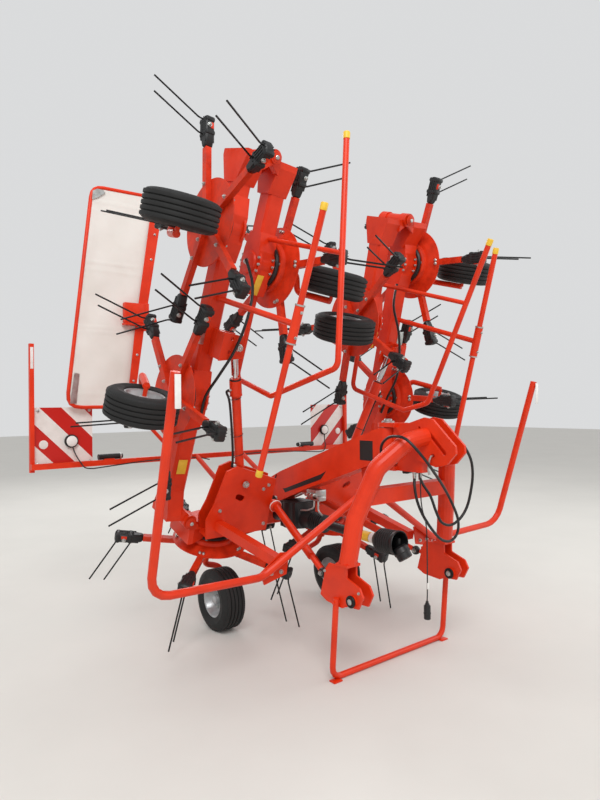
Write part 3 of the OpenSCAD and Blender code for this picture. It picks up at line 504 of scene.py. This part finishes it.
# Tines and bolts of every rotor, and the bolts and seal of its gear housing
arm_turns = [math.tau * k / ARMS for k in range(ARMS)]
for s in SIDES:
    for n in NUMBERS:
        rotor = section(s, n) @ moved((n - 0.5) * PITCH, 0, 0)
        turns = [math.radians(180 + ARM_PHASE[s][n - 1]) + turn for turn in arm_turns]
        arms = [rotor @ Matrix.Rotation(turn, 4, "Z") for turn in turns]
        units = joined([copy_to(tine_unit, "unit", arm) for arm in arms], f"spring_tines_{s}{n}")
        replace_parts(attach(units, f"rotor_{s}{n}"), f"tines_{s}{n}")
        places = [arm @ facing((228, y, 14), (0.3, 0, 1)) for arm in arms for y in (-12, 12)]
        places += [arm @ facing((128, 0, 59.5), (0, 0, 1)) for arm in arms]
        places += [arm @ facing((x, 0, -32.5), (0, 0, -1)) for arm in arms for x in (110, 225)]
        bolts(f"rotor_bolts_{s}{n}", f"rotor_{s}{n}", places, 11)
        angles = [math.radians(a) for a in (66, 90, 114, 246, 270, 294)]
        covers = [rotor @ facing((r * math.cos(a), r * math.sin(a), h), (0, 0, 1))
                  for r, h in HOUSING_BOLTS for a in angles]
        covers += [rotor @ facing((0, 0, HOUSING_TOP), (0, 0, 1)) @ Matrix.Scale(1.8, 4)]
        bolts(f"housing_bolts_{s}{n}", carrier(s, n), covers, 10)
        seal = [(100, 64), (134, 64), (139, 69), (139, 76), (130, 84), (100, 84)]
        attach(revolved(f"rotor_seal_{s}{n}", seal, 48, BLACK, rotor), carrier(s, n))
dropped(tine_unit)

# Collars and heads on the pins of the fold hinges
collar = [(0.001, 0), (36, 0), (36, 4), (32, 6), (26, 6.5), (26, 9), (20, 11), (0.001, 11)]
pin_end = joined([
    revolved("collar", collar, 24, RED_CAST),
    revolved("pin_head", [(0.001, 10), (13, 10), (13, 15), (10, 18), (0.001, 18)], 16, ZINC),
], "pin_end")
for s in SIDES:
    for name, place, hinge, body in (("inner", CENTRE[s], WING_HINGE, "frame"),
                                     ("outer", WING[s], OUTER_HINGE[s], f"wing_{side_of(s)}")):
        for end, y in (("front", -HINGE_PIN_HALF), ("rear", HINGE_PIN_HALF)):
            spot = place @ facing((hinge[0], y, hinge[1]), (0, y, 0))
            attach(copy_to(pin_end, f"hinge_pin_{name}_{end}_{s}", spot), body)

# Folding cylinders: gland, seams, ports, ends of their pins, and the hose tied along each barrel
reach = Vector((CYLINDER_TOP[0] - CYLINDER_BASE[0], 0, CYLINDER_TOP[1] - CYLINDER_BASE[1])).normalized()
base = Vector((CYLINDER_BASE[0], CYLINDER_Y, CYLINDER_BASE[1]))
across = Vector((reach.z, 0, -reach.x))


def by_cylinder(distance, offset=0, forward=0):
    """Point beside the cylinder at a distance from its foot pin."""
    return tuple(base + reach * distance + across * offset - Vector((0, forward, 0)))


for s in SIDES:
    body = f"cylinder_{side_of(s)}"
    place = CENTRE[s]
    for name, low, high, radius, finish in (("gland", 708, 716, 36, BLACK),
                                            ("seam", 606, 612, 39.5, RED_CAST),
                                            ("foot_ring", 96, 104, 31.5, RED_CAST)):
        run = [by_cylinder(low), by_cylinder(high)]
        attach(tube(f"cylinder_{name}_{s}", run, radius, finish, sides=6, place=place), body)
    for name, distance in (("upper", 650), ("lower", 120)):
        port = [by_cylinder(distance, 30), by_cylinder(distance, 52)]
        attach(tube(f"cylinder_port_{name}_{s}", port, 13, ZINC, sides=1, place=place), body)
    run = [by_cylinder(650, 52), by_cylinder(640, 66), by_cylinder(560, 48), by_cylinder(300, 44),
           by_cylinder(160, 50), by_cylinder(120, 60)]
    run = [v / MM for v in smooth([Vector(p) * MM for p in run], 4)]
    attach(tube(f"cylinder_hose_{s}", run, 8, HOSE, sides=2, place=place), body)
    for i, distance in enumerate((200, 335, 590)):
        ring = [by_cylinder(distance + 0.6 * k, 9 + 41 * math.cos(math.tau * k / 12),
                            33 * math.sin(math.tau * k / 12)) for k in range(13)]
        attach(tube(f"cylinder_tie_{i}_{s}", ring, 2.2, BLACK, sides=1, place=place), body)
    heads = [place @ facing((CYLINDER_BASE[0], CYLINDER_Y + out, CYLINDER_BASE[1]), (0, out, 0))
             for out in (-FOOT_PIN_HALF, FOOT_PIN_HALF)]
    bolts(f"cylinder_foot_pin_{s}", "frame", heads, 22)

    # Plates that hold the foot: bolts in their corners
    corners = [place @ facing((x, -204, h), (0, -1, 0))
               for x, h in ((262, 478), (300, 452), (620, 330), (250, 190))]
    bolts(f"cheek_bolts_{s}", "frame", corners, 12)
    heads = [place @ facing((CYLINDER_TOP[0], CYLINDER_Y + out, CYLINDER_TOP[1]), (0, out, 0))
             for out in (-HEAD_PIN_HALF, HEAD_PIN_HALF)]
    bolts(f"cylinder_head_pin_{s}", f"wing_{side_of(s)}", heads, 22)

# Dampers between the cylinder boxes and the hitch plates
rear, front = Vector(DAMPER_REAR), Vector(DAMPER_FRONT)
to_front = (front - rear).normalized()
for s in SIDES:
    place = GROUND @ MIRROR[s]
    axis = place @ facing(rear, to_front)
    ball = [(14, -31), (27, -22), (33, -12), (35, 0), (33, 12), (27, 22), (14, 31)]
    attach(revolved(f"damper_ball_{s}", ball, 24, BLACK, axis), "frame")
    cup = [(16, 34), (26, 38), (30, 52), (29, 60), (37, 76), (41, 90), (41, 99), (36, 105), (27, 108),
           (26, 100)]
    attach(revolved(f"damper_cup_{s}", cup, 20, RED_CAST, axis), "frame")
    # White band round the cup's widest edge: a painted highlight on the red cup
    band = [(40, 88), (42.5, 89), (43, 96), (41, 98), (40, 98)]
    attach(revolved(f"damper_cup_painted_highlight_{s}", band, 24, WHITE, axis), "frame")
    head = place @ facing(rear - Vector((32, 0, -6)), (-1, 0.1, 0.4))
    bolts(f"damper_rear_bolt_{s}", "frame", [head], 16)
    bush = [(10, -19), (22, -18), (27, -12), (29, 0), (27, 12), (22, 18), (10, 19)]
    eye = revolved(f"damper_eye_{s}", bush, 24, BLACK, place @ facing(front, (-1, 0, 0)))
    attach(eye, f"damper_rod_{side_of(s)}")
    bolts(f"damper_front_bolt_{s}", f"damper_rod_{side_of(s)}",
          [place @ facing(front + Vector((x, 0, 0)), (x, 0, 0)) for x in (-17, 17)], 14)

# Rails: yellow caps on their ends, rings and bolts on the telescopic sleeves
RAIL_Y, RAIL_H = -810, 150
TIPS = {"l": ((2890, -512, 100), (4095, -905, 100)), "r": ((2995, -925, 135), (4090, -700, 135))}
cap = revolved("cap", [(17.2, 36), (19, 36), (19.5, 4), (17, -2), (0.001, -3)], 16, YELLOW)
ring = revolved("ring", [(17, -4), (27.5, -4), (28, 0), (27.5, 4), (17, 4)], 16, ZINC)
for s in SIDES:
    wing, outer = f"wing_{side_of(s)}", f"outer_{side_of(s)}"
    for name, x, way in (("low", 1388, 1), ("high", 2822, -1)):
        place = WING[s] @ facing((x, RAIL_Y, RAIL_H), (way, 0, 0))
        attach(copy_to(cap, f"rail_cap_{name}_{s}", place), wing)
    tip, knee = (Vector(p) for p in TIPS[s])
    place = OUTER[s] @ facing(tip - (knee - tip).normalized() * 2, knee - tip)
    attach(copy_to(cap, f"rail_cap_outer_{s}", place), outer)
    for i, x in enumerate((2116, 2314)):
        place = WING[s] @ facing((x, RAIL_Y, RAIL_H), (1, 0, 0))
        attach(copy_to(ring, f"sleeve_ring_{i}_{s}", place), wing)
    heads = [WING[s] @ facing((x, RAIL_Y - 25, RAIL_H), (0, -1, 0)) for x in (2150, 2280)]
    bolts(f"sleeve_bolt_{s}", wing, heads, 8)

    # Hose along the wing, past the cylinder's bracket, and blank plates on the beams
    run = [(2480, -95, 235), (2330, -150, 290), (2150, -215, 260), (1950, -228, 215), (1780, -190, 170),
           (1620, -120, 150), (1480, -95, 165)]
    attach(tube(f"wing_hose_{s}", smooth(run, 4), 9, HOSE, sides=2, place=WING[s]), wing)
    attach(block(f"beam_shield_{s}", (190, 3, 62), WING[s] @ moved(2022, -61, 62), ZINC, 1), wing)
    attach(block(f"beam_plate_{s}", (95, 2.5, 62), WING[s] @ moved(1135, -60, 130), YELLOW, 0.8), wing)
    spot = OUTER[s] @ moved(3800, -78, 150) @ Matrix.Rotation(math.radians(14), 4, "Z")
    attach(block(f"housing_plate_{s}", (130, 2.5, 46), spot, YELLOW, 0.8), outer)

    # White strips on the uprights of guards and light posts
    upright = GROUND @ MIRROR[s]
    for name, width, spot in (("guard", 30, (1441, -114, 1570)), ("post", 20, (1485, 1970.5, 1850))):
        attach(block(f"{name}_strip_{s}", (width, 3, 150), upright @ moved(*spot), WHITE, 1), "frame")
dropped(cap, ring)

# Drive shaft: plastic guard with two bands, ribbed boot, bell and the joint in its mouth
SHAFT_REAR = Vector((0, 699.7, 711))
SHAFT_FRONT = Vector((0, 110, 684))
FORWARD = (0, -0.9994, 0.0349)
guard = tube("shaft_guard", [SHAFT_REAR, SHAFT_FRONT], SHAFT_R, BLACK, sides=6, place=GROUND)
along = SHAFT_FRONT - SHAFT_REAR
bands = [tube("band", [SHAFT_REAR + along * a, SHAFT_REAR + along * b], SHAFT_R + 1, finish, sides=6,
              place=GROUND)
         for a, b, finish in ((0.8, 0.915, YELLOW), (0.92, 0.99, WHITE))]
folds = [(30, 0), (50, 2)]
for k in range(6):
    folds += [(60, 6 + 20 * k), (60, 13 + 20 * k), (45, 17 + 20 * k), (45, 22 + 20 * k)]
boot = revolved("shaft_boot", folds + [(30, 134)], 32, BLACK, GROUND @ facing(SHAFT_REAR, along))
mouth = [(30, -2), (46, 0), (54, 10), (62, 24)]
for k in range(7):
    mouth += [(69, 36 + 17 * k), (73, 40 + 17 * k), (73, 45 + 17 * k), (68.5, 48 + 17 * k)]
mouth += [(73, 160), (75, 164), (75, 181), (72, 185), (68, 182), (66, 120), (60, 70), (40, 62),
          (0.001, 62)]
shaft_end = GROUND @ facing(SHAFT_FRONT, FORWARD)
bell = revolved("bell", mouth, 40, BLACK, shaft_end)
core = [(0.001, 60), (26, 60), (28, 66), (28, 110), (24, 118), (0.001, 120)]
inner = [(0.001, 0), (36, 0), (47, 12), (50, 40), (46, 44), (44, 74), (38, 78), (0.001, 78)]
yoke = [revolved("yoke", core, 20, SPRING, shaft_end),
        block("yoke_arm", (22, 60, 62), GROUND @ moved(0, -42, 690), SPRING, 8),
        revolved("inner_guard", inner, 28, BLACK, GROUND @ facing((6, -62, 668), (0.12, -0.55, -0.8)))]
drive = joined([guard, *bands, boot, bell, *yoke], "drive_shaft")
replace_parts(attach(drive, "frame"), "drive_bell")

# Valve block under the boom, its pipes, and the plain labels and seam of the boom's sides
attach(block("valve_block", (84, 106, 62), GROUND @ moved(-32, 640, 905), ZINC, 4), "frame")
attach(block("valve_cover", (60, 70, 30), GROUND @ moved(-44, 596, 880), ZINC, 5), "frame")
for i, (y, depth) in enumerate(((610, 24), (645, 24), (680, 20))):
    run = [(-74, y, 905), (-74 - depth, y, 905)]
    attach(tube(f"valve_{i}", run, 13, ZINC, sides=4, place=GROUND), "frame")
pipes = [[(-52, 640, 876), (-54, 640, 812), (-60, 700, 790), (-62, 770, 782)],
         [(-50, 600, 868), (-52, 600, 800), (-48, 560, 772)],
         [(-60, 690, 905), (-62, 760, 900), (-62, 830, 868)]]
for i, run in enumerate(pipes):
    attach(tube(f"valve_pipe_{i}", run, 6, ZINC, bend=30, sides=2, place=GROUND), "frame")
SIDEWAYS = Matrix.Rotation(math.radians(90), 4, "Z") @ Matrix.Rotation(math.radians(90), 4, "X")
for s in SIDES:
    face = GROUND @ MIRROR[s] @ moved(59.8, 0, 0) @ SIDEWAYS
    label = [(978, 912), (950, 884), (560, 1012), (505, 1072), (560, 1046), (950, 914)]
    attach(plate(f"boom_label_{s}", label, 1.6, face, BLACK, 0.5), "frame")
    sheet = [(80, 1165), (190, 1165), (190, 1285), (80, 1285)]
    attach(plate(f"boom_plate_{s}", sheet, 1.8, face, BLACK, 0.6), "frame")
    seam = [(61, 1052, 1002), (61, 1088, 930), (61, 1125, 812)]
    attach(tube(f"boom_seam_{s}", seam, 5, BLACK, sides=2, place=GROUND @ MIRROR[s]), "frame")

# Lamps on the light boards: round lamp before the board, long lamp on the bar, reflector, lead and bolts
lamp_parts = []
back = [(0.001, -6), (34, -6), (40, 0), (48, 4), (48, 22), (45, 26), (40, 27), (40, 22), (0.001, 22)]
for s in SIDES:
    side = GROUND @ MIRROR[s]
    place = side @ facing(ROUND_LAMP, (0, -1, 0))
    lamp_parts += [
        revolved("lamp_back", back, 28, BLACK, place),
        revolved("lamp_glass", [(39, 22), (38, 28), (28, 33), (0.001, 36)], 28, WHITE, place),
        revolved("lamp_lens", [(39, -6), (38, -14), (26, -20), (0.001, -22)], 28, RED_LENS, place),
        tube("long_lamp", [(1030, 1952, 1133), (868, 1952, 1133)], 21, BLACK, sides=6, place=side),
        tube("long_lamp_end", [(868, 1952, 1133), (858, 1952, 1133)], 22.5, ZINC, sides=6, place=side),
        tube("long_lamp_tip", [(858, 1952, 1133), (846, 1952, 1133)], 17, BLACK, sides=6, place=side),
        block("long_lamp_foot", (80, 30, 14), side @ moved(950, 1952, 1113), RED, 2),
    ]
    run = [(1206, 1978, 1215), (1192, 1960, 1160), (1170, 1922, 1106), (1141, 1914, 1066),
           (1090, 1914, 1056), (1038, 1914, 1058), (765, 1914, 1078), (540, 1914, 1088),
           (250, 1914, 1085), (120, 1900, 1060)]
    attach(tube(f"lamp_cable_{s}", smooth(run, 3), 4.5, HOSE, sides=2, place=side), "frame")
    heads = [side @ facing((x, 2001.5, h), (0, -1, 0)) for x in (1078, 1440) for h in (1104, 1480)]
    bolts(f"board_bolts_{s}", "frame", heads, 10)
    disc = [(0.001, 0), (31, 0), (31, 3), (27, 5), (0.001, 5)]
    place = side @ facing((1403, 2002, 1240), (0, -1, 0))
    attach(revolved(f"board_reflector_{s}", disc, 28, WHITE, place), "frame")
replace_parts(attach(joined(lamp_parts, "rear_lamps"), "frame"), "lamps")

# Hay deflector: bent tube with a flat bar and a box on its inner side, on one slanting post
UPRIGHT = Matrix.Rotation(math.radians(90), 4, "X")
front_face = GROUND @ moved(0, 1937, 0) @ UPRIGHT
rim_path = [(-806, 1950, 1502), (-1258, 1950, 1502), (-1062, 1950, 3134), (-512, 1950, 3150),
            (-548, 1950, 2930)]
bar = [(-817, 1490), (-762, 1490), (-672, 2098), (-522, 2990), (-534, 3040), (-580, 3060), (-606, 3030),
       (-745, 2093)]
bar_back = [(x * 0.985 - 11, z) for x, z in bar]
post = [(-786, 1950, 1520), (-498, 1950, 1212), (-498, 1950, 1112)]
surround = joined([
    tube("bent_tube", rim_path, 14, RED, bend=95, sides=4, place=GROUND),
    plate("flat_bar", bar, 9, front_face, RED, 2),
    plate("flat_bar_back", bar_back, 6, GROUND @ moved(0, 1966, 0) @ UPRIGHT, RED, 2),
    tube("slanting_post", post, 15, RED, bend=40, sides=3, place=GROUND),
    block("deflector_box", (196, 44, 150), GROUND @ moved(-748, 1904, 2215), RED, 5),
    block("deflector_box_lip", (206, 60, 16), GROUND @ moved(-748, 1898, 2128), RED, 3),
    block("deflector_box_foot", (30, 56, 210), GROUND @ moved(-668, 1904, 2190), RED, 4),
], "deflector_surround")
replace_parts(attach(surround, "frame"), "deflector_frame")
heads = [GROUND @ facing((x, 1928, h), (0, -1, 0))
         for x, h in ((-762, 1700), (-732, 1900), (-610, 2650), (-578, 2850))]
bolts("deflector_bolts", "frame", heads, 9)

# Cloth stretched in the tube, with rounded corners, raised seams across and a soft unevenness
LOW = (Vector((-818, 1516)), Vector((-1243, 1516)))
HIGH = (Vector((-530, 3136)), Vector((-1052, 3124)))
SEAMS = (1600, 2058, 2090, 2518, 2577, 2960, 3030)
bpy.ops.object.select_all(action="DESELECT")
bpy.ops.mesh.primitive_grid_add(x_subdivisions=CLOTH_CELLS[0], y_subdivisions=CLOTH_CELLS[1], size=1)
cloth = bpy.context.object
for vertex in cloth.data.vertices:
    u, v = vertex.co.x + 0.5, vertex.co.y + 0.5
    to_side, to_end = min(u, 1 - u) * CLOTH_W, min(v, 1 - v) * CLOTH_L
    if to_side < CLOTH_CORNER and to_end < CLOTH_CORNER:
        inward, upward = CLOTH_CORNER - to_side, CLOTH_CORNER - to_end
        reach = math.hypot(inward, upward) / CLOTH_CORNER
        if reach > 1:
            to_side, to_end = CLOTH_CORNER - inward / reach, CLOTH_CORNER - upward / reach
            u = to_side / CLOTH_W if u < 0.5 else 1 - to_side / CLOTH_W
            v = to_end / CLOTH_L if v < 0.5 else 1 - to_end / CLOTH_L
    at = LOW[0].lerp(LOW[1], u).lerp(HIGH[0].lerp(HIGH[1], u), v)
    edge = min(1, 8 * u * (1 - u)) * min(1, 12 * v * (1 - v))
    billow = 9 * math.sin(4.3 * v + 2.2 * u) + 5 * math.sin(11 * v - 5 * u) + 2 * math.sin(23 * v + 9 * u)
    raised = sum(3 * math.exp(-(((at.y - h) / 8) ** 2)) for h in SEAMS) * min(1, 5 * u)
    vertex.co = Vector((at.x, CLOTH_Y - edge * billow - raised, at.y)) * MM
bpy.ops.object.modifier_add(type="SOLIDIFY")
bpy.context.object.modifiers[0].thickness = CLOTH_THICKNESS * MM
bpy.ops.object.modifier_apply(modifier=bpy.context.object.modifiers[0].name)
bpy.ops.object.mode_set(mode="EDIT")
bpy.ops.mesh.select_all(action="SELECT")
bpy.ops.mesh.normals_make_consistent(inside=False)
bpy.ops.object.mode_set(mode="OBJECT")
cloth = finished("deflector_sheet", GROUND, CLOTH, 60)
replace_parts(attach(cloth, "frame"), "deflector_cloth")
# Grey plate at the cloth's top left corner: a painted shadow of the curled corner, in zinc grey
corner = [(-1062, 3096), (-1068, 3030), (-1030, 3050), (-965, 3098), (-985, 3118), (-1030, 3118)]
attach(plate("deflector_painted_shadow_corner", corner, 3, front_face, ZINC, 1), "frame")
# Grey plate over the cloth's lower left corner, in zinc grey
grey_patch = [(-1238, 1530), (-1192, 1530), (-1168, 1745), (-1205, 1752)]
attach(plate("deflector_grey_patch", grey_patch, 3, front_face, ZINC, 1), "frame")

# Headstock: head of the swivel pin, clip of the top link, ends of the hitch pins, bolts, stand's feet
head = [(0.001, 0), (38, 0), (38, 8), (34, 11), (24, 12), (24, 20), (20, 23), (0.001, 23)]
swivel = revolved("swivel_pin_head", head, 24, ZINC, GROUND @ facing(SWIVEL_TOP, (0, 0, 1)))
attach(swivel, "headstock")
run = [(-46, -360, 1222), (-62, -360, 1222), (-66, -352, 1200), (-64, -340, 1150), (-60, -346, 1120)]
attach(tube("top_link_clip", run, 6, ZINC, bend=10, sides=2, place=GROUND), "headstock")
cap = [(0.001, 0), (16, 0), (16, 4), (13, 6), (0.001, 6)]
ring = [(20, -10), (31, -10), (33, -4), (31, 0), (20, 0)]
for s in SIDES:
    side = GROUND @ MIRROR[s]
    for name, x in (("outer", 1), ("inner", -1)):
        end = side @ facing((HITCH_PIN[0] + x * HITCH_PIN_HALF, *HITCH_PIN[1:]), (x, 0, 0))
        parts = [revolved("pin_cap", cap, 20, ZINC, end), revolved("pin_ring", ring, 28, SPRING, end)]
        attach(joined(parts, f"hitch_pin_end_{name}_{s}"), "headstock")
    heads = [side @ facing((454, y, h), (1, 0, 0)) for y, h in ((72, 585), (-196, 520))]
    bolts(f"hitch_bolts_{s}", "headstock", heads, 8)
    heads = [side @ facing((x, 285, h), (0, -1, 0)) for x, h in ((600, 560), (668, 562))]
    bolts(f"gusset_bolts_{s}", "frame", heads, 12)
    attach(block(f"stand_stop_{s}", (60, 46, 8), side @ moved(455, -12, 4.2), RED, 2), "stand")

# Finishes of the solid model's own pieces
finishes = {
    "light_boards": BOARD, "gearbox": BLACK, "hitch_pins": ZINC,
    "piston_rod_left": CHROME, "piston_rod_right": CHROME,
}
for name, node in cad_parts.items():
    wear(node, finishes.get(name, RED_CAST if name.startswith("rotor") else RED))

# Plain pale floor and soft studio light
bpy.ops.mesh.primitive_plane_add(size=60, location=(0, 0, 0))
floor = bpy.context.object
floor.name = "floor"
wear(floor, finish_of("pale_studio_floor", "#d6d3cd", "#d2cfc9", 900, 30, 0.2, (0.7, 0.8)))
world = bpy.data.worlds.new("studio")
bpy.context.scene.world = world
world.use_nodes = True
background = world.node_tree.nodes["Background"]
background.inputs["Color"].default_value = linear("#ecedee")
background.inputs["Strength"].default_value = 0.84
LIT_POINT = Vector((0, 0, 1.4))
for name, place, size, power in (("key", (-4, -5, 7), 4, 400), ("fill", (6, -3, 4), 5, 120),
                                 ("rim", (2, 7, 6), 4, 200)):
    bpy.ops.object.light_add(type="AREA", location=place)
    lamp = bpy.context.object
    lamp.name = name
    lamp.data.size = size
    lamp.data.energy = power
    lamp.rotation_mode = "QUATERNION"
    lamp.rotation_quaternion = (LIT_POINT - Vector(place)).to_track_quat("-Z", "Y")

dropped(bolt, pin_end)
bpy.context.scene.view_settings.view_transform = "Standard"
